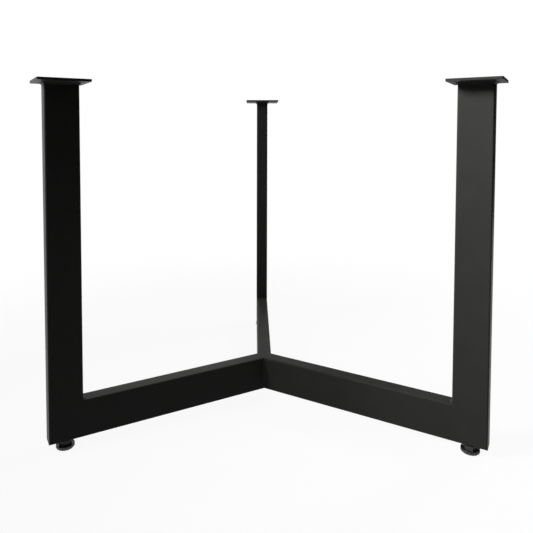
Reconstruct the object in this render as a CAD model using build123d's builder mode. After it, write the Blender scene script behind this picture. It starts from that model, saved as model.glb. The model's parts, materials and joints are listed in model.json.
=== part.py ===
from build123d import *
from math import atan2, degrees
import os

# Three-legged table base welded from rectangular steel tube, in millimetres with +Z up.
# The origin lies on the upright axis where the three floor rails meet, at floor level.
# Each leg and its rail form an L. A plate on the leg takes the table top, and a levelling
# foot screws into the rail's underside below the middle of the leg.

# Overall sizes
base_radius = 300.0
overall_height = 440.0
first_leg_angle = 210.0
leg_places = ("front_left", "front_right", "rear")
seam_places = ("front", "right", "left")

# Rectangular tube: the legs and the rails share thickness, wall and outer bend radius
leg_width = 40.0
rail_height = 45.0
tube_thickness = 20.0
tube_wall = 1.5
tube_corner_radius = 2.0

# Top plates
plate_size = 60.0
plate_thickness = 3.0
plate_corner_radius = 1.5
screw_hole_diameter = 6.0
screw_hole_spacing = 42.0

# Weld beads: the size is the bead's leg, and the throat is its depth on the corner's bisector
plate_weld_size = 3.0
plate_weld_toe = 0.4
corner_weld_size = 3.0
corner_weld_throat = 1.8
centre_weld_size = 2.4
centre_weld_throat = 1.0

# Levelling feet: a stud with a hexagon collar in a round moulded glide
hexagon_sides = 6
stud_diameter = 8.0
stud_length = 19.0
stud_seat_depth = 1.6
collar_across_flats = 13.0
collar_height = 6.3
collar_chamfer = 0.6
glide_diameter = 22.0
glide_height = 4.2
glide_floor_chamfer = 1.2
glide_rim_width = 1.6
glide_dish_depth = 0.8
flute_count = 18
flute_depth = 0.5

# Rivet nuts set in the rails: flange below the wall, six-sided body through it, upset collar above
nut_flange_diameter = 14.0
nut_flange_thickness = 1.0
nut_across_flats = 11.0
nut_body_length = 16.0
nut_upset_width = 1.5
nut_upset_height = 3.0

# Clearances
thread_clearance = 0.05
nut_hole_clearance = 0.05
foot_seat_gap = 0.3

# Places worked out from the sizes
dish_floor = glide_height - glide_dish_depth
collar_top = dish_floor + collar_height
rail_underside = collar_top + foot_seat_gap + nut_flange_thickness
rail_top = rail_underside + rail_height
plate_underside = overall_height - plate_thickness
leg_inner_radius = base_radius - leg_width
leg_centre_radius = base_radius - leg_width / 2
rail_spread = 360 / len(leg_places)
right_angle = 90.0


def direction(angle):
    """Level unit vector at an angle from +X."""
    return Vector(1, 0, 0).rotate(Axis.Z, angle)


def level_plane(angle, height):
    """Level plane at a height, with its X axis pointing out along the leg."""
    return Plane(origin=(0, 0, height), x_dir=direction(angle), z_dir=(0, 0, 1))


def side_plane(angle):
    """Upright plane through the leg and its rail, with X outward and Y up."""
    return Plane(origin=(0, 0, 0), x_dir=direction(angle), z_dir=direction(angle - right_angle))


def rail_end_plane(angle):
    """Upright plane across the rail at the centre, half way up the rail."""
    mid_height = rail_underside + rail_height / 2
    return Plane(origin=(0, 0, mid_height), x_dir=direction(angle + right_angle), z_dir=direction(angle))


def mitre_plane(angle):
    """Plane of the corner mitre, from the inner corner to the outer one, facing the leg."""
    outer_corner = direction(angle) * base_radius + Vector(0, 0, rail_underside)
    facing_leg = direction(angle) * rail_height + Vector(0, 0, leg_width)
    return Plane(origin=outer_corner, z_dir=facing_leg)


def tube_section(width, depth):
    """Hollow section of a rectangular tube, rounded outside and square inside."""
    RectangleRounded(width, depth, tube_corner_radius)
    Rectangle(width - 2 * tube_wall, depth - 2 * tube_wall, mode=Mode.SUBTRACT)


def fluted_outline():
    """Outline of the glide, with its points in turn on the rim and on the floor of a V flute."""
    rim = glide_diameter / 2
    half_pitch = 360 / flute_count / 2
    corners = []
    for flute in range(flute_count):
        corners.append(direction(2 * flute * half_pitch) * rim)
        corners.append(direction((2 * flute + 1) * half_pitch) * (rim - flute_depth))
    Polygon(*corners, align=None)


def nut_outline(growth=0.0):
    """Six-sided outline of the rivet nut's body, grown outward on every side."""
    RegularPolygon(radius=nut_across_flats / 2 + growth, side_count=hexagon_sides, major_radius=False)


def save(piece, name):
    """Labels a finished piece and writes it under its name."""
    piece.part.label = name
    export_step(piece.part, f"parts/{name}.step")


def make_leg_tube(place, angle):
    """Upright tube from the mitre to the underside of its plate."""
    with BuildPart() as leg_tube:
        with BuildSketch(level_plane(angle, rail_underside)):
            with Locations((leg_centre_radius, 0)):
                tube_section(leg_width, tube_thickness)
        extrude(amount=plate_underside - rail_underside)
        split(bisect_by=mitre_plane(angle), keep=Keep.TOP)
    save(leg_tube, f"leg_tube_{place}")


def make_floor_rail(place, angle):
    """Tube on edge, pointed at the centre, mitred at the leg and drilled for the rivet nut."""
    with BuildPart() as floor_rail:
        with BuildSketch(rail_end_plane(angle)):
            tube_section(tube_thickness, rail_height)
        extrude(amount=base_radius)
        split(bisect_by=mitre_plane(angle), keep=Keep.BOTTOM)
        for turn in (rail_spread / 2 - right_angle, right_angle - rail_spread / 2):
            split(bisect_by=Plane(origin=(0, 0, 0), z_dir=direction(angle + turn)), keep=Keep.TOP)
        with BuildSketch(level_plane(angle, rail_underside)):
            with Locations((leg_centre_radius, 0)):
                nut_outline(nut_hole_clearance)
        extrude(amount=tube_wall, mode=Mode.SUBTRACT)
    save(floor_rail, f"floor_rail_{place}")


def make_top_plate(place, angle):
    """Square plate on the leg with a screw hole in each corner."""
    with BuildPart() as top_plate:
        with BuildSketch(level_plane(angle, plate_underside)):
            with Locations((leg_centre_radius, 0)):
                RectangleRounded(plate_size, plate_size, plate_corner_radius)
                with GridLocations(screw_hole_spacing, screw_hole_spacing, 2, 2):
                    Circle(screw_hole_diameter / 2, mode=Mode.SUBTRACT)
        extrude(amount=plate_thickness)
    save(top_plate, f"top_plate_{place}")


def make_plate_weld(place, angle):
    """Fillet weld around the leg with mitred corners, sloping between its toes on leg and plate."""
    lower_toe = plate_underside - plate_weld_size
    with BuildPart() as plate_weld:
        with BuildSketch(level_plane(angle, lower_toe)):
            with Locations((leg_centre_radius, 0)):
                Rectangle(leg_width + 2 * plate_weld_size, tube_thickness + 2 * plate_weld_size)
        extrude(amount=plate_weld_size)
        chamfer(plate_weld.faces().sort_by(Axis.Z)[0].edges(), plate_weld_size - plate_weld_toe)
        with BuildSketch(level_plane(angle, lower_toe)):
            with Locations((leg_centre_radius, 0)):
                RectangleRounded(leg_width, tube_thickness, tube_corner_radius)
        extrude(amount=plate_weld_size, mode=Mode.SUBTRACT)
    save(plate_weld, f"plate_weld_{place}")


def make_corner_weld(place, angle):
    """Hollow-faced fillet weld across the inner corner between rail and leg."""
    corner = Vector(leg_inner_radius, rail_top)
    rail_toe = corner - Vector(corner_weld_size, 0)
    leg_toe = corner + Vector(0, corner_weld_size)
    face_middle = corner + Vector(-1, 1).normalized() * corner_weld_throat
    with BuildPart() as corner_weld:
        with BuildSketch(side_plane(angle)):
            with BuildLine():
                Polyline(rail_toe, corner, leg_toe)
                ThreePointArc(leg_toe, face_middle, rail_toe)
            make_face()
        extrude(amount=tube_thickness / 2 - tube_corner_radius, both=True)
    save(corner_weld, f"corner_weld_{place}")


def make_centre_weld(seam, angle):
    """Upright fillet weld in the V between two rails, short of their rounded edges."""
    along_rail = direction(rail_spread / 2)
    corner = Vector(tube_thickness / 2 / along_rail.Y, 0)
    left_toe = corner + along_rail * centre_weld_size
    right_toe = Vector(left_toe.X, -left_toe.Y)
    face_middle = corner + Vector(centre_weld_throat, 0)
    with BuildPart() as centre_weld:
        with BuildSketch(level_plane(angle, rail_underside + tube_corner_radius)):
            with BuildLine():
                Polyline(left_toe, corner, right_toe)
                ThreePointArc(right_toe, face_middle, left_toe)
            make_face()
        extrude(amount=rail_height - 2 * tube_corner_radius)
    save(centre_weld, f"centre_weld_{seam}")


def make_rivet_nut(place, angle):
    """Threaded insert clamped on the rail's lower wall, bored for the stud."""
    flange_underside = rail_underside - nut_flange_thickness
    upset_taper = degrees(atan2(nut_upset_width, nut_upset_height))
    with BuildPart() as rivet_nut:
        with BuildSketch(level_plane(angle, flange_underside)):
            with Locations((leg_centre_radius, 0)):
                Circle(nut_flange_diameter / 2)
        extrude(amount=nut_flange_thickness)
        with BuildSketch(level_plane(angle, rail_underside)):
            with Locations((leg_centre_radius, 0)):
                nut_outline()
        extrude(amount=nut_body_length)
        with BuildSketch(level_plane(angle, rail_underside + tube_wall)):
            with Locations((leg_centre_radius, 0)):
                nut_outline(nut_upset_width)
        extrude(amount=nut_upset_height, taper=upset_taper)
        with BuildSketch(level_plane(angle, flange_underside)):
            with Locations((leg_centre_radius, 0)):
                Circle(stud_diameter / 2 + thread_clearance)
        extrude(amount=nut_flange_thickness + nut_body_length, mode=Mode.SUBTRACT)
    save(rivet_nut, f"rivet_nut_{place}")


def make_foot_stud(place, angle):
    """Levelling screw: a plain shank standing for the thread, with a chamfered hexagon collar."""
    with BuildPart() as foot_stud:
        with BuildSketch(level_plane(angle, dish_floor)):
            with Locations((leg_centre_radius, 0)):
                RegularPolygon(radius=collar_across_flats / 2, side_count=hexagon_sides, major_radius=False)
        extrude(amount=collar_height)
        chamfer(foot_stud.faces().sort_by(Axis.Z)[-1].edges(), collar_chamfer)
        with BuildSketch(level_plane(angle, dish_floor - stud_seat_depth)):
            with Locations((leg_centre_radius, 0)):
                Circle(stud_diameter / 2)
        extrude(amount=stud_seat_depth + collar_height + stud_length)
    save(foot_stud, f"foot_stud_{place}")


def make_foot_glide(place, angle):
    """Round base of the foot: flat underside, fluted rim and a dished top that takes the stud."""
    with BuildPart() as foot_glide:
        with BuildSketch(level_plane(angle, 0)):
            with Locations((leg_centre_radius, 0)):
                fluted_outline()
        extrude(amount=glide_height)
        chamfer(foot_glide.faces().sort_by(Axis.Z)[0].edges(), glide_floor_chamfer)
        with BuildSketch(level_plane(angle, dish_floor)):
            with Locations((leg_centre_radius, 0)):
                Circle(glide_diameter / 2 - glide_rim_width)
        extrude(amount=glide_dish_depth, mode=Mode.SUBTRACT)
        with BuildSketch(level_plane(angle, dish_floor - stud_seat_depth)):
            with Locations((leg_centre_radius, 0)):
                Circle(stud_diameter / 2)
        extrude(amount=stud_seat_depth, mode=Mode.SUBTRACT)
    save(foot_glide, f"foot_glide_{place}")


os.makedirs("parts", exist_ok=True)
for position, (place, seam) in enumerate(zip(leg_places, seam_places)):
    angle = first_leg_angle + position * rail_spread
    make_leg_tube(place, angle)
    make_floor_rail(place, angle)
    make_top_plate(place, angle)
    make_plate_weld(place, angle)
    make_corner_weld(place, angle)
    make_centre_weld(seam, angle + rail_spread / 2)
    make_rivet_nut(place, angle)
    make_foot_stud(place, angle)
    make_foot_glide(place, angle)
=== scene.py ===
"""Dresses a three-legged welded table base: powder coat, weld beads, levelling feet, studio and camera.

Lengths are in metres and angles in radians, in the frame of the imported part: +Z up, origin on the floor
where the rails meet. The rear leg lies on the Y axis, so the sizes that all three legs share are read
from its boxes.
"""

import json
import logging
import math
from dataclasses import asdict, dataclass, field, fields
from enum import Enum
from typing import Any

import bmesh
import bpy
from mathutils import Matrix, Vector

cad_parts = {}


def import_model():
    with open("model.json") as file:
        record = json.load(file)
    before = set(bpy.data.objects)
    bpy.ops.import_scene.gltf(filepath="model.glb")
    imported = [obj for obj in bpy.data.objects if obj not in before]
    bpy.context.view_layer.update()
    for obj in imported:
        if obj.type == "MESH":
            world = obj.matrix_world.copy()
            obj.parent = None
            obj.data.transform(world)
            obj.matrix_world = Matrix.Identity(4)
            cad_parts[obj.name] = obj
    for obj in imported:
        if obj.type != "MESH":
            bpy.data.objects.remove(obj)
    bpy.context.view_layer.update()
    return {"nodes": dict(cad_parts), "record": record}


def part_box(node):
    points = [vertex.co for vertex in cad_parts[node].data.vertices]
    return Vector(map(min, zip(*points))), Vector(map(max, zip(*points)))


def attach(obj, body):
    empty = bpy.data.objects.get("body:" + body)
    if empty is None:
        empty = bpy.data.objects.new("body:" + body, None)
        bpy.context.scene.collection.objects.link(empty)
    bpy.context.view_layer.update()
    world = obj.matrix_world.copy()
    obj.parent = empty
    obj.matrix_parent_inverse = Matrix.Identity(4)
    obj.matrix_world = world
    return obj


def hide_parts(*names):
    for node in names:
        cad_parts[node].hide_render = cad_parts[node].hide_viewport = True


Object = bpy.types.Object
Material = bpy.types.Material
Socket = bpy.types.NodeSocket
Tree = bpy.types.NodeTree
Feeds = dict[str | int, Any]
Colour = tuple[float, float, float]
Point = tuple[float, float, float]

LOG = logging.getLogger("table_base")
FRAME_BODY = "frame"
MERGE_DISTANCE = 1e-6
FULL_TURN = 2 * math.pi
UPWARD: Point = (0.0, 0.0, 1.0)
DOWNWARD: Point = (0.0, 0.0, -1.0)
LEVEL_ONLY: Point = (1.0, 1.0, 0.0)

# Finer layers that a noise texture adds
EVEN_LAYERS = 1.0
CLOUDY_LAYERS = 4.0

# What Capture Attribute calls each type of socket that it keeps
KEPT_KINDS = {"VALUE": "FLOAT", "VECTOR": "VECTOR"}


class Place(Enum):
    """The legs, named as the part names them."""

    FRONT_LEFT = "front_left"
    FRONT_RIGHT = "front_right"
    REAR = "rear"


class Seam(Enum):
    """The upright seams between two rails, named as the part names them."""

    FRONT = "front"
    RIGHT = "right"
    LEFT = "left"


class Slot(Enum):
    """The record's material slots that the pieces take their finishes from."""

    POWDER_COAT = "powder_coat"
    BLACK_STEEL = "black_steel"
    GLIDE_PLASTIC = "glide_plastic"


class TreeKind(Enum):
    """Kinds of node tree that can be placed in another one."""

    GEOMETRY = "GeometryNodeTree"
    SHADER = "ShaderNodeTree"


class Wire(Enum):
    """Kinds of socket on the outside of a tree."""

    SHAPE = "NodeSocketGeometry"
    NUMBER = "NodeSocketFloat"
    COUNT = "NodeSocketInt"
    VECTOR = "NodeSocketVector"
    COLOUR = "NodeSocketColor"
    MATERIAL = "NodeSocketMaterial"


class Slope(Enum):
    """How a ramp runs from its start to its end."""

    STRAIGHT = "LINEAR"
    EASED = "SMOOTHSTEP"


class Blend(Enum):
    """What a mix node blends: its setting, the places of its two inputs and the place of its result."""

    NUMBERS = ("FLOAT", 2, 3, 0)
    COLOURS = ("RGBA", 6, 7, 2)


def numbers(*names: str) -> dict[str, Wire]:
    """Lists inputs of a tree that each take a number."""
    return dict.fromkeys(names, Wire.NUMBER)


@dataclass(frozen=True)
class Value:
    """One output of a node: a number, a vector or a shape. Python's own signs do sums with it."""

    graph: "Graph"
    socket: Socket

    def __add__(self, other: Any) -> "Value":
        """Adds another value."""
        return self.graph.maths("ADD", self, other)

    def __sub__(self, other: Any) -> "Value":
        """Takes another value away."""
        return self.graph.maths("SUBTRACT", self, other)

    def __rsub__(self, other: Any) -> "Value":
        """Takes this value away from a plain one."""
        return self.graph.maths("SUBTRACT", other, self)

    def __mul__(self, other: Any) -> "Value":
        """Multiplies by another value."""
        return self.graph.maths("MULTIPLY", self, other)

    def __truediv__(self, other: Any) -> "Value":
        """Divides by another value."""
        return self.graph.maths("DIVIDE", self, other)

    def __rtruediv__(self, other: Any) -> "Value":
        """Divides a plain value by this one."""
        return self.graph.maths("DIVIDE", other, self)

    __radd__ = __add__
    __rmul__ = __mul__

    def __neg__(self) -> "Value":
        """Turns a number's sign."""
        return self * -1.0

    def __abs__(self) -> "Value":
        """Drops a number's sign."""
        return self.graph.maths("ABSOLUTE", self)

    def parts(self) -> tuple["Value", ...]:
        """Splits a vector into its X, Y and Z."""
        return tuple(self.graph.results("ShaderNodeSeparateXYZ", {0: self}).values())

    def length(self) -> "Value":
        """Measures a vector."""
        return self.graph.results("ShaderNodeVectorMath", {0: self}, operation="LENGTH")["Value"]


class Graph:
    """Thin layer over a node tree: adds nodes, feeds their inputs and does sums."""

    def __init__(self, tree: Tree) -> None:
        """Keeps the tree that the nodes go to."""
        self.tree = tree

    @classmethod
    def of(cls, owner: Material | bpy.types.World) -> "Graph":
        """Starts the tree of a material or of the world.

        Args:
            owner: the material or world, whose default nodes are cleared.

        Returns:
            The graph of its empty tree.
        """
        owner.use_nodes = True
        owner.node_tree.nodes.clear()
        return cls(owner.node_tree)

    def add(self, kind: str, feeds: Feeds | None = None, **settings: Any) -> bpy.types.Node:
        """Adds one node.

        Args:
            kind: Blender's own name of the node type.
            feeds: another node's output or a plain value for each input, by the input's name or place.
            settings: properties of the node, such as its operation.

        Returns:
            The new node.
        """
        node = self.tree.nodes.new(kind)
        for name, value in settings.items():
            setattr(node, name, value)
        for key, value in (feeds or {}).items():
            self.feed(node.inputs[key], value)
        return node

    def result(self, kind: str, feeds: Feeds | None = None, **settings: Any) -> Value:
        """Adds one node, as add does, and returns its first output."""
        return Value(self, self.add(kind, feeds, **settings).outputs[0])

    def results(self, kind: str, feeds: Feeds | None = None, **settings: Any) -> dict[str, Value]:
        """Adds one node, as add does, and returns its outputs by their names."""
        return {socket.name: Value(self, socket) for socket in self.add(kind, feeds, **settings).outputs}

    def feed(self, socket: Socket, value: Any) -> None:
        """Fills an input.

        Args:
            socket: the input.
            value: another node's output to link it to, or a plain value to set.
        """
        if isinstance(value, Value):
            self.tree.links.new(value.socket, socket)
        else:
            socket.default_value = value

    def maths(self, operation: str, *terms: Any) -> Value:
        """Adds a maths node, for vectors where a term is one.

        Args:
            operation: the node's operation, such as MINIMUM or SINE.
            terms: an output or a plain value for each of its inputs.

        Returns:
            The result.
        """
        plain_vector = any(isinstance(term, tuple) for term in terms)
        vector = any(isinstance(term, Value) and term.socket.type == "VECTOR" for term in terms)
        kind = "ShaderNodeVectorMath" if plain_vector or vector else "ShaderNodeMath"
        return self.result(kind, dict(enumerate(terms)), operation=operation)

    def vector(self, x: Any, y: Any, z: Any) -> Value:
        """Joins three numbers into a vector."""
        return self.result("ShaderNodeCombineXYZ", {0: x, 1: y, 2: z})

    def ramp(
        self, value: Any, start: Any, end: Any, first: Any, last: Any, slope: Slope = Slope.STRAIGHT
    ) -> Value:
        """Adds a clamped ramp.

        Args:
            value: the number that runs along the ramp.
            start: the value at which the ramp starts.
            end: the value at which it ends.
            first: the result at its start and before.
            last: the result at its end and after.
            slope: how it runs in between.

        Returns:
            The result.
        """
        feeds = dict(enumerate((value, start, end, first, last)))
        return self.result("ShaderNodeMapRange", feeds, interpolation_type=slope.value)

    def mix(self, blend: Blend, share: Any, first: Any, second: Any) -> Value:
        """Adds a mix node.

        Args:
            blend: what it blends.
            share: how much of the second it takes, from 0 to 1.
            first: the number or colour at share 0.
            second: the number or colour at share 1.

        Returns:
            The result.
        """
        data_type, first_place, second_place, result_place = blend.value
        feeds = {0: share, first_place: first, second_place: second}
        return Value(self, self.add("ShaderNodeMix", feeds, data_type=data_type).outputs[result_place])

    def noise(self, size: Value, layers: float) -> Value:
        """Adds soft noise from 0 to 1 on object coordinates.

        Args:
            size: the width of its patches.
            layers: how many finer layers it has.

        Returns:
            The noise.
        """
        place = self.results("ShaderNodeTexCoord")["Object"]
        return self.result("ShaderNodeTexNoise", {"Vector": place, "Scale": 1.0 / size, "Detail": layers})

    def position(self) -> Value:
        """Adds the place of each point of a shape, as a field."""
        return self.result("GeometryNodeInputPosition")

    def index(self) -> Value:
        """Adds the number of each point of a shape, as a field."""
        return self.result("GeometryNodeInputIndex")

    def keep(self, shape: Value, **values: Value) -> dict[str, Value]:
        """Keeps values of a shape's points, for use after the shape has changed.

        Args:
            shape: the shape.
            values: each value, as a field, by the name to keep it under.

        Returns:
            The shape, as Geometry, and the kept values by their names.
        """
        node = self.add("GeometryNodeCaptureAttribute", {"Geometry": shape}, domain="POINT")
        for name, value in values.items():
            node.capture_items.new(KEPT_KINDS[value.socket.type], name)
        for name, value in values.items():
            self.feed(node.inputs[name], value)
        return {socket.name: Value(self, socket) for socket in node.outputs}

    def moved(self, shape: Value, place: Any, turn: float = 0.0) -> Value:
        """Turns a shape round the upright axis and then moves it by a vector."""
        feeds = {"Geometry": shape, "Translation": place, "Rotation": (0.0, 0.0, turn)}
        return self.result("GeometryNodeTransform", feeds)

    def combined(self, operation: str, *solids: Value) -> Value:
        """Adds an exact boolean.

        Args:
            operation: UNION or INTERSECT.
            solids: the solids that it takes.

        Returns:
            The combined solid.
        """
        node = self.add("GeometryNodeMeshBoolean", operation=operation, solver="EXACT")
        for solid in solids:
            self.feed(node.inputs["Mesh 2"], solid)
        return Value(self, node.outputs["Mesh"])

    def place(self, group: Tree, feeds: Feeds) -> dict[str, Value]:
        """Adds another tree to this one as a group node, and returns its outputs by their names."""
        kind = self.tree.bl_idname.replace("NodeTree", "NodeGroup")
        return self.results(kind, feeds, node_tree=group)


class Group(Graph):
    """The graph of a tree that has named inputs and outputs of its own."""

    def __init__(self, name: str, kind: TreeKind, takes: dict[str, Wire], gives: dict[str, Wire]) -> None:
        """Starts the tree, and holds its inputs as given.

        Args:
            name: the tree's name.
            kind: geometry or shader.
            takes: the kind of each input, by its name.
            gives: the kind of each output, by its name.
        """
        super().__init__(bpy.data.node_groups.new(name, kind.value))
        for side, wires in (("INPUT", takes), ("OUTPUT", gives)):
            for title, wire in wires.items():
                self.tree.interface.new_socket(title, in_out=side, socket_type=wire.value)
        self.given = self.results("NodeGroupInput")

    def give(self, results: dict[str, Value]) -> Tree:
        """Links the results to the tree's outputs and returns the finished tree."""
        self.add("NodeGroupOutput", results)
        return self.tree


def put_in_scene(name: str, data: bpy.types.ID) -> Object:
    """Adds an object to the scene.

    Args:
        name: the object's name.
        data: its mesh, lamp or camera.

    Returns:
        The object, at the origin.
    """
    thing = bpy.data.objects.new(name, data)
    bpy.context.scene.collection.objects.link(thing)
    return thing


def opaque(colour: Colour) -> tuple[float, float, float, float]:
    """Gives a colour its full opacity."""
    return (*colour, 1.0)


@dataclass(frozen=True)
class PhotoCamera:
    """The viewpoint, as a pinhole camera with its principal point off the middle of the picture."""

    picture_px: float = 533.0
    focal_px: float = 536.02
    centre_x_px: float = 244.19
    centre_y_px: float = 156.0
    position: Point = (-0.01487, -0.76719, 0.37867)
    yaw: float = -0.0190
    pitch: float = 0.0437
    roll: float = 0.0007
    sensor_mm: float = 36.0

    def place(self) -> None:
        """Adds the camera and makes it the scene's own."""
        data = bpy.data.cameras.new("viewpoint")
        data.sensor_fit = "HORIZONTAL"
        data.sensor_width = self.sensor_mm
        data.lens = self.focal_px / self.picture_px * self.sensor_mm
        data.shift_x = 0.5 - self.centre_x_px / self.picture_px
        data.shift_y = self.centre_y_px / self.picture_px - 0.5
        camera = put_in_scene("viewpoint", data)
        level = Matrix.Rotation(-self.yaw, 4, "Z") @ Matrix.Rotation(math.pi / 2 - self.pitch, 4, "X")
        camera.matrix_world = Matrix.Translation(self.position) @ level @ Matrix.Rotation(self.roll, 4, "Z")
        bpy.context.scene.camera = camera


@dataclass(frozen=True)
class Softbox:
    """One square studio lamp, aimed at a point and unseen by the camera."""

    name: str
    position: Point
    target: Point
    side: float
    watts: float
    spread: float = math.pi

    def place(self) -> None:
        """Adds the lamp."""
        data = bpy.data.lights.new(self.name, "AREA")
        data.shape = "SQUARE"
        data.size = self.side
        data.energy = self.watts
        data.spread = self.spread
        lamp = put_in_scene(self.name, data)
        lamp.location = self.position
        aim = Vector(self.target) - Vector(self.position)
        lamp.rotation_euler = aim.to_track_quat("-Z", "Y").to_euler()
        lamp.visible_camera = False


@dataclass(frozen=True)
class DarkScreen:
    """Curved dark cloth round the right of the set, so that faces turned that way stay dark."""

    radius: float = 1.9
    height: float = 2.3
    first_angle: float = math.radians(-82.0)
    last_angle: float = math.radians(84.0)
    panels: int = 24
    tone: float = 0.02

    def material(self) -> Material:
        """Builds the cloth's material.

        Returns:
            A plain dark matt.
        """
        material = bpy.data.materials.new("dark_cloth")
        graph = Graph.of(material)
        cloth = graph.result("ShaderNodeBsdfDiffuse", {"Color": opaque((self.tone, self.tone, self.tone))})
        graph.add("ShaderNodeOutputMaterial", {"Surface": cloth})
        return material

    def place(self) -> Object:
        """Builds the cloth as one curved strip that stands on the floor.

        Returns:
            The strip, unseen by the camera.
        """
        points = []
        for column in range(self.panels + 1):
            angle = self.first_angle + (self.last_angle - self.first_angle) * column / self.panels
            foot = Vector((math.cos(angle), math.sin(angle), 0.0)) * self.radius
            points += [foot, foot + Vector(UPWARD) * self.height]
        faces = [(2 * c, 2 * c + 1, 2 * c + 3, 2 * c + 2) for c in range(self.panels)]
        mesh = bpy.data.meshes.new("dark_screen")
        mesh.from_pydata(points, [], faces)
        mesh.materials.append(self.material())
        screen = put_in_scene("dark_screen", mesh)
        screen.visible_camera = False
        return screen


@dataclass(frozen=True)
class Studio:
    """White room: pale floor that fades away, soft lamps above it and a dark screen on the right."""

    floor_half_width: float = 6.0
    floor_tone: float = 0.85
    bounce_tone: float = 0.15
    fade_start: float = 0.35
    fade_end: float = 1.00
    nearby_clear: float = 0.93
    white: Colour = (1.0, 1.0, 1.0)
    room_strength: float = 0.05
    shown_strength: float = 1.0
    lamps: tuple[Softbox, ...] = (
        Softbox(
            "key_softbox",
            position=(-1.25, -0.6, 1.3),
            target=(0.3, -0.4, 0.7),
            side=0.6,
            watts=11.5,
            spread=math.radians(57.0),
        ),
        Softbox("overhead_softbox", position=(-0.4, 0.2, 2.2), target=(0.0, 0.0, 0.0), side=1.6, watts=5.0),
        Softbox("back_softbox", position=(1.45, 0.9, 1.5), target=(0.0, 0.0, 0.2), side=0.6, watts=18.0),
    )
    screen: DarkScreen = DarkScreen()

    def seen_directly(self, graph: Graph) -> Value:
        """Mask of the rays that show the room itself.

        Args:
            graph: the tree of a material or of the world.

        Returns:
            A mask that is 1 for camera, glossy and transmission rays and 0 for the rest.
        """
        path = graph.results("ShaderNodeLightPath")
        mirrored = graph.maths("MAXIMUM", path["Is Glossy Ray"], path["Is Transmission Ray"])
        return graph.maths("MAXIMUM", path["Is Camera Ray"], mirrored)

    def floor_material(self) -> Material:
        """Pale matt floor that keeps the shadow near the base and clears to the white surround further out.

        It is nearly clear near the base too, so that a foot screwed out below floor level stays in view.

        Returns:
            The floor's material.
        """
        material = bpy.data.materials.new("pale_floor")
        graph = Graph.of(material)
        seen = self.seen_directly(graph)
        tone = graph.ramp(seen, 0.0, 1.0, self.bounce_tone, self.floor_tone)
        matt = graph.result("ShaderNodeBsdfDiffuse", {"Color": tone})
        clear = graph.result("ShaderNodeBsdfTransparent")
        away = graph.results("ShaderNodeTexCoord")["Object"].length()
        clearness = graph.ramp(away, self.fade_start, self.fade_end, self.nearby_clear, 1.0, Slope.EASED)
        mixed = graph.result("ShaderNodeMixShader", {0: clearness * seen, 1: matt, 2: clear})
        graph.add("ShaderNodeOutputMaterial", {"Surface": mixed})
        return material

    def place_floor(self) -> Object:
        """Adds the floor.

        Returns:
            One square at height zero.
        """
        half = self.floor_half_width
        corners = [(-half, -half, 0.0), (half, -half, 0.0), (half, half, 0.0), (-half, half, 0.0)]
        mesh = bpy.data.meshes.new("floor")
        mesh.from_pydata(corners, [], [range(len(corners))])
        mesh.materials.append(self.floor_material())
        return put_in_scene("floor", mesh)

    def place_world(self) -> None:
        """Sets a white surround that lights the set softly."""
        world = bpy.data.worlds.new("white_room")
        bpy.context.scene.world = world
        graph = Graph.of(world)
        white = opaque(self.white)
        fill = graph.result("ShaderNodeBackground", {"Color": white, "Strength": self.room_strength})
        shown = graph.result("ShaderNodeBackground", {"Color": white, "Strength": self.shown_strength})
        mixed = graph.result("ShaderNodeMixShader", {0: self.seen_directly(graph), 1: fill, 2: shown})
        graph.add("ShaderNodeOutputWorld", {"Surface": mixed})

    def place(self) -> None:
        """Builds the set: the white surround, the floor, the dark screen and the lamps."""
        bpy.context.scene.view_settings.view_transform = "Standard"
        self.place_world()
        self.place_floor()
        self.screen.place()
        for lamp in self.lamps:
            lamp.place()


def surface_grain() -> Tree:
    """Builds the shared group for fine relief: a soft pebbling with a finer grit on it.

    Returns:
        A shader group with inputs Pebble Size, Grit Size and Grit Share, and output Height.
    """
    takes = numbers("Pebble Size", "Grit Size", "Grit Share")
    graph = Group("surface_grain", TreeKind.SHADER, takes, numbers("Height"))
    pebbles = graph.noise(graph.given["Pebble Size"], EVEN_LAYERS)
    grit = graph.noise(graph.given["Grit Size"], EVEN_LAYERS)
    return graph.give({"Height": graph.mix(Blend.NUMBERS, graph.given["Grit Share"], pebbles, grit)})


def tone_drift() -> Tree:
    """Builds the shared group for slow changes of tone and gloss over a surface.

    Returns:
        A shader group with inputs Light, Dark, Smooth, Rough and Patch Size, and outputs Colour and
        Roughness.
    """
    takes = {"Light": Wire.COLOUR, "Dark": Wire.COLOUR} | numbers("Smooth", "Rough", "Patch Size")
    gives = {"Colour": Wire.COLOUR, "Roughness": Wire.NUMBER}
    graph = Group("tone_drift", TreeKind.SHADER, takes, gives)
    given = graph.given
    patches = graph.noise(given["Patch Size"], CLOUDY_LAYERS)
    colour = graph.mix(Blend.COLOURS, patches, given["Dark"], given["Light"])
    roughness = graph.mix(Blend.NUMBERS, patches, given["Smooth"], given["Rough"])
    return graph.give({"Colour": colour, "Roughness": roughness})


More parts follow.
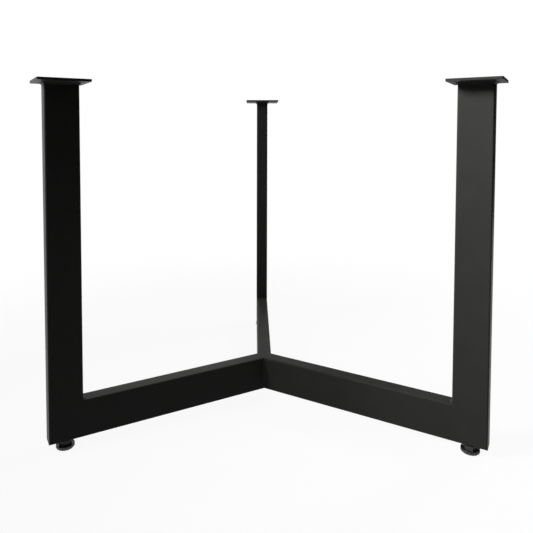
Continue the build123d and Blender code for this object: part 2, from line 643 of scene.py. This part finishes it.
@dataclass(frozen=True)
class Finish:
    """One surface finish: drifting tone and gloss over a fine relief."""

    name: str
    light: Colour
    dark: Colour
    smooth: float
    rough: float
    patch: float
    pebble: float
    grit: float
    grit_share: float
    relief: float
    metallic: float = 0.0
    specular: float = 0.5

    def material(self, grain: Tree, drift: Tree) -> Material:
        """Builds the finish.

        Args:
            grain: the shared relief group.
            drift: the shared tone group.

        Returns:
            A material on object coordinates.
        """
        material = bpy.data.materials.new(self.name)
        graph = Graph.of(material)
        feeds = {
            "Light": opaque(self.light),
            "Dark": opaque(self.dark),
            "Smooth": self.smooth,
            "Rough": self.rough,
            "Patch Size": self.patch,
        }
        tones = graph.place(drift, feeds)
        feeds = {"Pebble Size": self.pebble, "Grit Size": self.grit, "Grit Share": self.grit_share}
        height = graph.place(grain, feeds)["Height"]
        feeds = {
            "Base Color": tones["Colour"],
            "Roughness": tones["Roughness"],
            "Normal": graph.result("ShaderNodeBump", {"Height": height, "Distance": self.relief}),
            "Metallic": self.metallic,
            "Specular IOR Level": self.specular,
        }
        shader = graph.result("ShaderNodeBsdfPrincipled", feeds)
        graph.add("ShaderNodeOutputMaterial", {"Surface": shader})
        return material


FINISHES = {
    Slot.POWDER_COAT: Finish(
        name="powder_coat_black",
        light=(0.036, 0.036, 0.0343),
        dark=(0.027, 0.027, 0.0258),
        smooth=0.38,
        rough=0.46,
        patch=0.030,
        pebble=0.0006,
        grit=0.0002,
        grit_share=0.4,
        relief=0.00015,
        specular=0.075,
    ),
    Slot.BLACK_STEEL: Finish(
        name="black_plated_steel",
        light=(0.080, 0.080, 0.079),
        dark=(0.055, 0.055, 0.055),
        smooth=0.34,
        rough=0.46,
        patch=0.004,
        pebble=0.0006,
        grit=0.00012,
        grit_share=0.6,
        relief=0.00001,
        metallic=0.15,
        specular=0.2,
    ),
    Slot.GLIDE_PLASTIC: Finish(
        name="moulded_black_plastic",
        light=(0.020, 0.020, 0.020),
        dark=(0.014, 0.014, 0.014),
        smooth=0.26,
        rough=0.36,
        patch=0.006,
        pebble=0.0005,
        grit=0.00015,
        grit_share=0.4,
        relief=0.00002,
    ),
}


@dataclass(frozen=True)
class FrameSizes:
    """Sizes that the three legs share, from the rear leg's boxes."""

    leg_inner_radius: float
    leg_outer_radius: float
    thickness: float
    rail_top: float
    plate_underside: float

    @classmethod
    def read(cls) -> "FrameSizes":
        """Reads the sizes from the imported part."""
        leg_low, leg_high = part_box("leg_tube_rear")
        return cls(
            leg_inner_radius=leg_low.y,
            leg_outer_radius=leg_high.y,
            thickness=leg_high.x - leg_low.x,
            rail_top=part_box("floor_rail_rear")[1].z,
            plate_underside=leg_high.z,
        )


def bake(tree: Tree, name: str, values: dict[str, Any]) -> Object:
    """Runs a geometry tree once and keeps its result as a plain mesh.

    Args:
        tree: the tree to run, which makes its shape in place.
        name: the name of the piece.
        values: a value for each of the tree's inputs, by the input's name.

    Returns:
        The piece at the origin, with its doubles merged, its faces outward and no modifier left.
    """
    piece = put_in_scene(name, bpy.data.meshes.new(name))
    modifier = piece.modifiers.new("shape", "NODES")
    modifier.node_group = tree
    for socket in tree.interface.items_tree:
        if socket.in_out == "INPUT":
            modifier[socket.identifier] = values[socket.name]
    depsgraph = bpy.context.evaluated_depsgraph_get()
    shape = bpy.data.meshes.new_from_object(piece.evaluated_get(depsgraph), depsgraph=depsgraph)
    piece.modifiers.remove(modifier)
    mesh = bmesh.new()
    mesh.from_mesh(shape)
    bmesh.ops.remove_doubles(mesh, verts=mesh.verts, dist=MERGE_DISTANCE)
    bmesh.ops.recalc_face_normals(mesh, faces=mesh.faces)
    mesh.to_mesh(shape)
    mesh.free()
    piece.data = shape
    return piece


def stand_for(piece: Object, body: str, slot: Slot, nodes: list[str]) -> None:
    """Lets a piece ride on a body, in the place of the part's own nodes.

    Args:
        piece: the piece that shows.
        body: the body that it rides on.
        slot: not used.
        nodes: the nodes that it stands for.
    """
    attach(piece, body)
    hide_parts(*nodes)


def soft_shading(graph: Graph, shape: Value, crease: float) -> Value:
    """Adds smooth shading to a shape, with its sharper edges kept sharp.

    Args:
        graph: the geometry tree.
        shape: the mesh to shade.
        crease: the angle above which an edge stays sharp.

    Returns:
        The shaded mesh.
    """
    smooth = graph.result("GeometryNodeSetShadeSmooth", {"Geometry": shape, "Shade Smooth": True})
    angle = graph.results("GeometryNodeInputMeshEdgeAngle")["Unsigned Angle"]
    sharp = graph.result("FunctionNodeCompare", {"A": angle, "B": crease}, operation="GREATER_THAN")
    feeds = {"Geometry": smooth, "Selection": sharp, "Shade Smooth": False}
    return graph.result("GeometryNodeSetShadeSmooth", feeds, domain="EDGE")


def finished(graph: Group, shape: Value, material: Value) -> Tree:
    """Ends a geometry tree: makes its copies real and gives them their material.

    Args:
        graph: the tree, whose output is Piece.
        shape: the shape that it has made.
        material: the material to set.

    Returns:
        The finished tree.
    """
    real = graph.result("GeometryNodeRealizeInstances", {"Geometry": shape})
    feeds = {"Geometry": real, "Material": material}
    return graph.give({"Piece": graph.result("GeometryNodeSetMaterial", feeds)})


def round_the_axis() -> Tree:
    """Builds the group that repeats a path once for each leg round the upright axis.

    Returns:
        A geometry group with inputs Path and Legs, and output Paths.
    """
    takes = {"Path": Wire.SHAPE, "Legs": Wire.COUNT}
    graph = Group("round_the_axis", TreeKind.GEOMETRY, takes, {"Paths": Wire.SHAPE})
    points = graph.result("GeometryNodePoints", {"Count": graph.given["Legs"]})
    turn = graph.index() * (FULL_TURN / graph.given["Legs"])
    rotation = graph.result("FunctionNodeEulerToRotation", {0: graph.vector(0.0, 0.0, turn)})
    feeds = {"Points": points, "Instance": graph.given["Path"], "Rotation": rotation}
    copies = graph.result("GeometryNodeInstanceOnPoints", feeds)
    return graph.give({"Paths": graph.result("GeometryNodeRealizeInstances", {"Geometry": copies})})


@dataclass(frozen=True)
class BeadForm:
    """The form of one kind of weld bead, laid in a corner between two faces."""

    size: float
    half_angle: float
    hollow: float
    ripple_pitch: float = 0.0013
    ripple_height: float = 0.00016
    wander: float = 0.22
    end_length: float = 0.0016
    endless: bool = False

    @staticmethod
    def title(field_name: str) -> str:
        """Names a bead tree's input for a field of the form."""
        return field_name.replace("_", " ").title()

    def values(self) -> dict[str, float]:
        """Gives the form as inputs of a bead tree."""
        return {self.title(name): float(value) for name, value in asdict(self).items()}


BEAD_WIRES = numbers(*(BeadForm.title(item.name) for item in fields(BeadForm)))


@dataclass(frozen=True)
class BeadSweep:
    """Builds the group that lays a rippled bead along a path."""

    ring_spacing: float = 0.00022
    face_steps: int = 13
    wander_length: float = 0.006
    ripple_lag: float = 0.0011
    crease: float = math.radians(55.0)

    def section(self, graph: Group) -> tuple[Value, Value]:
        """Adds the bead's section: two straight sides in the corner and a face between its toes.

        Args:
            graph: the tree of the bead.

        Returns:
            The section as a closed curve, and a field that is 1 in the middle of the face and 0 at its toes.
        """
        given = graph.given
        feeds = {
            "Resolution": self.face_steps,
            "Radius": given["Size"],
            "Start Angle": -given["Half Angle"],
            "Sweep Angle": 2.0 * given["Half Angle"],
            "Connect Center": True,
        }
        arc = graph.result("GeometryNodeCurveArc", feeds, mode="RADIUS")
        across = graph.index() / (self.face_steps - 1.0)
        bow = 4.0 * across * (1.0 - across)
        kept = graph.keep(arc, Face=graph.maths("MAXIMUM", bow, 0.0))
        position = graph.position()
        chord = given["Size"] * graph.maths("COSINE", given["Half Angle"])
        flat = chord / position.parts()[0] - 1.0
        feeds = {"Geometry": kept["Geometry"], "Position": position * (1.0 + flat * given["Hollow"])}
        return graph.result("GeometryNodeSetPosition", feeds), kept["Face"]

    def girth(self, graph: Group, travel: Value) -> Value:
        """Adds the bead's change of size along its path: rounded ends and a slow wander.

        Args:
            graph: the tree of the bead.
            travel: the length along the path.

        Returns:
            A field that multiplies the section.
        """
        given = graph.given
        total = graph.results("GeometryNodeSplineLength")["Length"]
        from_end = graph.maths("MINIMUM", travel, total - travel)
        missing = 1.0 - graph.maths("MINIMUM", from_end / given["End Length"], 1.0)
        arched = graph.maths("SQRT", 1.0 - graph.maths("POWER", missing, 2.0))
        rounded = graph.maths("MAXIMUM", arched, given["Endless"])
        feeds = {"Scale": 1.0 / self.wander_length, "Detail": EVEN_LAYERS}
        noise = graph.result("ShaderNodeTexNoise", feeds)
        return rounded * (1.0 + (noise - 0.5) * given["Wander"])

    def tree(self) -> Tree:
        """Builds the group.

        Returns:
            A geometry group with inputs Path, Bisector and those of BEAD_WIRES, and output Bead.
        """
        takes = {"Path": Wire.SHAPE, "Bisector": Wire.VECTOR} | BEAD_WIRES
        graph = Group("weld_bead", TreeKind.GEOMETRY, takes, {"Bead": Wire.SHAPE})
        given = graph.given
        feeds = {"Curve": given["Path"], "Length": self.ring_spacing}
        path = graph.result("GeometryNodeResampleCurve", feeds, mode="LENGTH")
        feeds = {"Curve": path, "Normal": given["Bisector"]}
        aimed = graph.result("GeometryNodeSetCurveNormal", feeds, mode="FREE")
        position = graph.position()
        travel = graph.results("GeometryNodeSplineParameter")["Length"]
        kept = graph.keep(aimed, Travel=travel, Root=position)
        section, face = self.section(graph)
        feeds = {
            "Curve": kept["Geometry"],
            "Profile Curve": section,
            "Scale": self.girth(graph, travel),
            "Fill Caps": True,
        }
        swept = graph.result("GeometryNodeCurveToMesh", feeds)
        reached = kept["Travel"] + face * self.ripple_lag
        wave = abs(graph.maths("SINE", reached / given["Ripple Pitch"] * math.pi)) - 0.5
        outward = graph.maths("NORMALIZE", position - kept["Root"])
        feeds = {"Geometry": swept, "Offset": outward * (wave * face * given["Ripple Height"])}
        rippled = graph.result("GeometryNodeSetPosition", feeds)
        return graph.give({"Bead": soft_shading(graph, rippled, self.crease)})


@dataclass(frozen=True)
class WeldBeads:
    """The frame's welds: inside each corner, up each seam of the Y and round each leg under its plate."""

    sizes: FrameSizes
    coat: Material
    legs: int = len(Place)
    square_half_angle: float = math.pi / 4
    seam_half_angle: float = math.pi / len(Place)
    corner_hollow: float = 1.1
    seam_hollow: float = 0.9
    plate_hollow: float = 0.95
    tube_corner_radius: float = 0.002
    fillet_steps: int = 6
    copies: Tree = field(default_factory=round_the_axis)
    bead: Tree = field(default_factory=BeadSweep().tree)

    def start(self, name: str, route: dict[str, float]) -> Group:
        """Starts the tree of one kind of bead, with inputs for its route and for what every kind has."""
        takes = numbers(*route) | BEAD_WIRES | {"Legs": Wire.COUNT, "Coat": Wire.MATERIAL}
        return Group(name, TreeKind.GEOMETRY, takes, {"Piece": Wire.SHAPE})

    def lay(self, graph: Group, path: Value, bisector: Value) -> Tree:
        """Ends the tree of one kind of bead: repeats its path for each leg and lays the bead on it.

        Args:
            graph: the tree, whose inputs include those of BEAD_WIRES.
            path: the path at the rear leg or at the front seam.
            bisector: the direction that halves the corner, of any length, as a field on the path.

        Returns:
            The finished tree.
        """
        given = graph.given
        paths = graph.place(self.copies, {"Path": path, "Legs": given["Legs"]})["Paths"]
        feeds = {"Path": paths, "Bisector": graph.maths("NORMALIZE", bisector)}
        feeds |= {name: given[name] for name in BEAD_WIRES}
        return finished(graph, graph.place(self.bead, feeds)["Bead"], given["Coat"])

    def sideways(self, graph: Graph) -> Value:
        """Adds the level direction at the right of a path, as a field on it."""
        return graph.maths("CROSS_PRODUCT", graph.result("GeometryNodeInputTangent"), UPWARD)

    def piece(self, tree: Tree, route: dict[str, float], form: BeadForm, welds: list[str]) -> Object:
        """Bakes one kind of bead and lets it stand for the part's own welds.

        Args:
            tree: the tree of that kind, named as the piece is.
            route: the sizes of its path.
            form: the form of its beads.
            welds: the nodes that it stands for.

        Returns:
            The beads as one piece.
        """
        beads = bake(tree, tree.name, route | form.values() | {"Legs": self.legs, "Coat": self.coat})
        stand_for(beads, FRAME_BODY, Slot.POWDER_COAT, welds)
        return beads

    def corner_beads(self) -> Object:
        """Lays the beads across the inner corners between rail and leg.

        Returns:
            The piece.
        """
        low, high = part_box("corner_weld_rear")
        route = {
            "Radius": self.sizes.leg_inner_radius,
            "Height": self.sizes.rail_top,
            "Length": high.x - low.x,
        }
        graph = self.start("corner_beads", route)
        given = graph.given
        half = given["Length"] / 2.0
        start = graph.vector(-half, given["Radius"], given["Height"])
        end = graph.vector(half, given["Radius"], given["Height"])
        path = graph.result("GeometryNodeCurvePrimitiveLine", {"Start": start, "End": end})
        tree = self.lay(graph, path, self.sideways(graph) + UPWARD)
        form = BeadForm(high.z - low.z, self.square_half_angle, self.corner_hollow)
        return self.piece(tree, route, form, [f"corner_weld_{place.value}" for place in Place])

    def seam_beads(self) -> Object:
        """Lays the upright beads in the seams between two rails.

        Returns:
            The piece.
        """
        low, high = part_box("centre_weld_front")
        slant = math.sin(self.seam_half_angle)
        route = {"Radius": self.sizes.thickness / 2 / slant, "Foot": low.z, "Top": high.z}
        graph = self.start("seam_beads", route)
        given = graph.given
        start = graph.vector(0.0, -given["Radius"], given["Foot"])
        end = graph.vector(0.0, -given["Radius"], given["Top"])
        path = graph.result("GeometryNodeCurvePrimitiveLine", {"Start": start, "End": end})
        tree = self.lay(graph, path, graph.position() * LEVEL_ONLY)
        form = BeadForm((high.x - low.x) / 2 / slant, self.seam_half_angle, self.seam_hollow)
        return self.piece(tree, route, form, [f"centre_weld_{seam.value}" for seam in Seam])

    def plate_beads(self) -> Object:
        """Lays the beads round the legs, under their plates.

        Returns:
            The piece.
        """
        low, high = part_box("plate_weld_rear")
        route = {
            "Radius": (self.sizes.leg_inner_radius + self.sizes.leg_outer_radius) / 2,
            "Height": self.sizes.plate_underside,
            "Depth": self.sizes.leg_outer_radius - self.sizes.leg_inner_radius,
            "Thickness": self.sizes.thickness,
            "Corner": self.tube_corner_radius,
        }
        graph = self.start("plate_beads", route)
        given = graph.given
        feeds = {"Width": given["Thickness"], "Height": given["Depth"]}
        outline = graph.result("GeometryNodeCurvePrimitiveQuadrilateral", feeds)
        feeds = {"Curve": outline, "Count": self.fillet_steps, "Radius": given["Corner"]}
        rounded = graph.result("GeometryNodeFilletCurve", feeds, mode="POLY")
        path = graph.moved(rounded, graph.vector(0.0, given["Radius"], given["Height"]))
        tree = self.lay(graph, path, self.sideways(graph) + DOWNWARD)
        form = BeadForm(high.z - low.z, self.square_half_angle, self.plate_hollow, endless=True)
        return self.piece(tree, route, form, [f"plate_weld_{place.value}" for place in Place])

    def build(self) -> list[Object]:
        """Lays every kind of bead, one piece for each kind."""
        return [self.corner_beads(), self.seam_beads(), self.plate_beads()]


@dataclass(frozen=True)
class LevellingFeet:
    """The levelling feet: threaded studs with hexagon collars, each standing in a ribbed glide."""

    steel: Material
    plastic: Material
    shank_radius: float = 0.004
    thread_pitch: float = 0.00125
    thread_depth: float = 0.00077
    crest_share: float = 0.125
    root_share: float = 0.25
    nut_gap: float = 0.0003
    socket_radius: float = 0.00405
    dish_depth: float = 0.0008
    rim_width: float = 0.0016
    floor_chamfer: float = 0.0012
    edge_radius: float = 0.00035
    sharp_radius: float = 0.0
    edge_steps: int = 4
    rib_count: int = 18
    rib_height: float = 0.0005
    rib_steps: int = 12
    collar_sides: int = 6
    collar_bevel_angle: float = math.radians(30.0)
    collar_face_share: float = 0.95
    round_steps: int = 48
    rings_per_turn: int = 16
    crease: float = math.radians(28.0)

    def collar(self, graph: Group) -> Value:
        """Adds the hexagon collar: a prism whose upper corners are turned off by a cone.

        Args:
            graph: the tree of the stud.

        Returns:
            The collar on the upright axis, with two of its corners on the Y axis.
        """
        given = graph.given
        height = given["Collar Top"] - given["Collar Foot"]
        flat_radius = given["Across Flats"] / 2.0
        half_side = math.pi / self.collar_sides
        feeds = {
            "Vertices": self.collar_sides,
            "Radius": flat_radius / math.cos(half_side),
            "Depth": height,
        }
        prism = graph.result("GeometryNodeMeshCylinder", feeds)
        middle = given["Collar Foot"] + height / 2.0
        prism = graph.moved(prism, graph.vector(0.0, 0.0, middle), half_side)
        face_radius = flat_radius * self.collar_face_share
        feeds = {
            "Vertices": self.round_steps,
            "Radius Top": face_radius,
            "Radius Bottom": face_radius + height / math.tan(self.collar_bevel_angle),
            "Depth": height,
        }
        cone = graph.result("GeometryNodeMeshCone", feeds)
        cone = graph.moved(cone, graph.vector(0.0, 0.0, given["Collar Foot"]))
        return graph.combined("INTERSECT", prism, cone)

    def shank(self, graph: Group) -> Value:
        """Adds the shank: plain up to the collar's top and threaded above it, with a turned point.

        Args:
            graph: the tree of the stud.

        Returns:
            The shank on the upright axis.
        """
        given = graph.given
        length = given["Stud Top"] - given["Stud Foot"]
        feeds = {
            "Vertices": self.round_steps,
            "Side Segments": length / given["Pitch"] * self.rings_per_turn,
            "Radius": given["Shank Radius"],
            "Depth": length,
        }
        rod = graph.result("GeometryNodeMeshCylinder", feeds)
        rod = graph.moved(rod, graph.vector(0.0, 0.0, given["Stud Foot"] + length / 2.0))
        position = graph.position()
        x, y, z = position.parts()
        turned = graph.maths("ARCTAN2", y, x) / FULL_TURN
        phase = graph.maths("FRACT", z / given["Pitch"] - turned)
        from_root = abs(phase * 2.0 - 1.0)
        groove = graph.ramp(from_root, self.root_share, 1.0 - self.crest_share, given["Thread Depth"], 0.0)
        runout_end = given["Collar Top"] + given["Pitch"]
        groove *= graph.ramp(z, given["Collar Top"], runout_end, 0.0, 1.0)
        point = given["Shank Radius"] - given["Thread Depth"] + (given["Stud Top"] - z)
        radius = graph.maths("MINIMUM", given["Shank Radius"] - groove, point)
        share = radius / given["Shank Radius"]
        feeds = {"Geometry": rod, "Position": position * graph.vector(share, share, 1.0)}
        return graph.result("GeometryNodeSetPosition", feeds)

    def stud_tree(self) -> Tree:
        """Builds the tree of a stud: its collar and shank in one.

        Returns:
            A geometry tree with inputs for the stud's place, sizes and material.
        """
        heights = numbers("Stud Foot", "Stud Top", "Collar Foot", "Collar Top")
        widths = numbers("Across Flats", "Shank Radius", "Pitch", "Thread Depth")
        takes = {"Axis": Wire.VECTOR, "Steel": Wire.MATERIAL} | heights | widths
        graph = Group("levelling_stud", TreeKind.GEOMETRY, takes, {"Piece": Wire.SHAPE})
        whole = graph.combined("UNION", self.collar(graph), self.shank(graph))
        placed = graph.moved(whole, graph.given["Axis"])
        return finished(graph, soft_shading(graph, placed, self.crease), graph.given["Steel"])

    def outline(self, graph: Group) -> Value:
        """Adds the glide's section from the middle of its floor face to the middle of its socket.

        Args:
            graph: the tree of the glide.

        Returns:
            An open curve with rounded edges, with its X from the glide's rim outward and its Y downward.
        """
        given = graph.given
        rim = given["Radius"]
        inner = rim - given["Rim Width"]
        dish = given["Height"] - given["Dish Depth"]
        edge = given["Edge Radius"]
        sharp = self.sharp_radius
        corners = (
            (0.0, 0.0, sharp),
            (rim - given["Floor Chamfer"], 0.0, edge),
            (rim, given["Floor Chamfer"], edge),
            (rim, given["Height"], edge),
            (inner, given["Height"], edge),
            (inner, dish, edge),
            (given["Socket Radius"], dish, sharp),
            (given["Socket Radius"], given["Socket Floor"], sharp),
            (0.0, given["Socket Floor"], sharp),
        )
        corner = graph.add("GeometryNodeIndexSwitch", data_type="VECTOR")
        while len(corner.index_switch_items) < len(corners):
            corner.index_switch_items.new()
        graph.feed(corner.inputs["Index"], graph.index())
        for number, (radius, height, rounding) in enumerate(corners):
            graph.feed(corner.inputs[str(number)], graph.vector(radius - rim, -height, rounding))
        outward, downward, rounding = Value(graph, corner.outputs[0]).parts()
        feeds = {"Count": len(corners), "Position": graph.vector(outward, downward, 0.0)}
        points = graph.result("GeometryNodePoints", feeds)
        line = graph.result("GeometryNodePointsToCurves", {"Points": points})
        feeds = {"Curve": line, "Count": self.edge_steps, "Radius": rounding}
        return graph.result("GeometryNodeFilletCurve", feeds, mode="POLY")

    def glide_tree(self) -> Tree:
        """Builds the tree of a glide: its section turned round the axis, with ribs round the rim.

        One rib stands at the rear, as on the part's own glide.

        Returns:
            A geometry tree with inputs for the glide's place, sizes, ribs and material.
        """
        sizes = numbers("Radius", "Height", "Rim Width", "Dish Depth", "Floor Chamfer", "Edge Radius")
        socket = numbers("Socket Radius", "Socket Floor")
        ribs = {"Ribs": Wire.COUNT, "Rib Height": Wire.NUMBER}
        takes = {"Axis": Wire.VECTOR, "Plastic": Wire.MATERIAL} | sizes | socket | ribs
        graph = Group("ribbed_glide", TreeKind.GEOMETRY, takes, {"Piece": Wire.SHAPE})
        given = graph.given
        position = graph.position()
        feeds = {"Resolution": given["Ribs"] * self.rib_steps, "Radius": given["Radius"]}
        circle = graph.result("GeometryNodeCurvePrimitiveCircle", feeds)
        feeds = {"Curve": circle, "Normal": graph.maths("NORMALIZE", position)}
        path = graph.result("GeometryNodeSetCurveNormal", feeds, mode="FREE")
        feeds = {"Curve": path, "Profile Curve": self.outline(graph)}
        turned = graph.result("GeometryNodeCurveToMesh", feeds)
        x, y = position.parts()[:2]
        half_turns = graph.maths("ARCTAN2", x, y) * given["Ribs"] / 2.0
        hollow = 1.0 - abs(graph.maths("COSINE", half_turns))
        level = position * LEVEL_ONLY
        inner = given["Radius"] - given["Rim Width"]
        share = graph.ramp(level.length(), inner, given["Radius"], 0.0, 1.0)
        inward = graph.maths("NORMALIZE", level) * -(hollow * share * given["Rib Height"])
        ribbed = graph.result("GeometryNodeSetPosition", {"Geometry": turned, "Offset": inward})
        placed = graph.moved(ribbed, given["Axis"])
        return finished(graph, soft_shading(graph, placed, self.crease), given["Plastic"])

    def build_stud(self, place: Place, tree: Tree) -> Object:
        """Makes one stud where the part has it, and lets it stand for that.

        Args:
            place: the leg that it is under.
            tree: the tree of a stud.

        Returns:
            The stud.
        """
        node = f"foot_stud_{place.value}"
        low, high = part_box(node)
        axis = (low + high) / 2
        sizes = {
            "Axis": (axis.x, axis.y, 0.0),
            "Stud Foot": low.z,
            "Stud Top": high.z,
            "Collar Foot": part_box(f"foot_glide_{place.value}")[1].z - self.dish_depth,
            "Collar Top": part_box(f"rivet_nut_{place.value}")[0].z - self.nut_gap,
            "Across Flats": high.x - low.x,
            "Shank Radius": self.shank_radius,
            "Pitch": self.thread_pitch,
            "Thread Depth": self.thread_depth,
            "Steel": self.steel,
        }
        stud = bake(tree, f"threaded_stud_{place.value}", sizes)
        stand_for(stud, f"foot_{place.value}", Slot.BLACK_STEEL, [node])
        return stud

    def build_glide(self, place: Place, tree: Tree) -> Object:
        """Makes one glide where the part has it, and lets it stand for that.

        Args:
            place: the leg that it is under.
            tree: the tree of a glide.

        Returns:
            The glide.
        """
        node = f"foot_glide_{place.value}"
        low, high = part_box(node)
        axis = (low + high) / 2
        sizes = {
            "Axis": (axis.x, axis.y, low.z),
            "Radius": max(high.x - low.x, high.y - low.y) / 2,
            "Height": high.z - low.z,
            "Rim Width": self.rim_width,
            "Dish Depth": self.dish_depth,
            "Floor Chamfer": self.floor_chamfer,
            "Edge Radius": self.edge_radius,
            "Socket Radius": self.socket_radius,
            "Socket Floor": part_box(f"foot_stud_{place.value}")[0].z,
            "Ribs": self.rib_count,
            "Rib Height": self.rib_height,
            "Plastic": self.plastic,
        }
        glide = bake(tree, f"ribbed_glide_{place.value}", sizes)
        stand_for(glide, f"foot_{place.value}", Slot.GLIDE_PLASTIC, [node])
        return glide

    def build(self) -> list[Object]:
        """Makes a stud and a glide for each leg.

        Returns:
            The pieces of all feet.
        """
        stud_tree = self.stud_tree()
        glide_tree = self.glide_tree()
        pieces = []
        for place in Place:
            pieces += [self.build_stud(place, stud_tree), self.build_glide(place, glide_tree)]
        return pieces


@dataclass(frozen=True)
class SoftEdges:
    """Small rounding of a plate's sharp edges, as deburring leaves it."""

    width: float = 0.0004
    segments: int = 2
    crease: float = math.radians(32.0)

    def add_to(self, node: Object) -> None:
        """Joins a node's loose triangles and rounds its sharp edges.

        Args:
            node: the part's own node.
        """
        weld = node.modifiers.new("joined_faces", "WELD")
        weld.merge_threshold = MERGE_DISTANCE
        bevel = node.modifiers.new("soft_edges", "BEVEL")
        bevel.width = self.width
        bevel.segments = self.segments
        bevel.limit_method = "ANGLE"
        bevel.angle_limit = self.crease


def main() -> None:
    """Loads the part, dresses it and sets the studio."""
    logging.basicConfig(level=logging.INFO, format="%(name)s: %(message)s")
    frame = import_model()
    grain = surface_grain()
    drift = tone_drift()
    materials = {slot: finish.material(grain, drift) for slot, finish in FINISHES.items()}
    for subpart in frame["record"]["subparts"]:
        node = frame["nodes"][subpart["node"]]
        node.material_slots[0].material = materials[Slot(subpart["material_slot"])]
    for place in Place:
        SoftEdges().add_to(frame["nodes"][f"top_plate_{place.value}"])
    pieces = WeldBeads(FrameSizes.read(), materials[Slot.POWDER_COAT]).build()
    pieces += LevellingFeet(materials[Slot.BLACK_STEEL], materials[Slot.GLIDE_PLASTIC]).build()
    for piece in pieces:
        LOG.info("%s: %d faces", piece.name, len(piece.data.polygons))
    Studio().place()
    PhotoCamera().place()


if __name__ == "__main__":
    main()
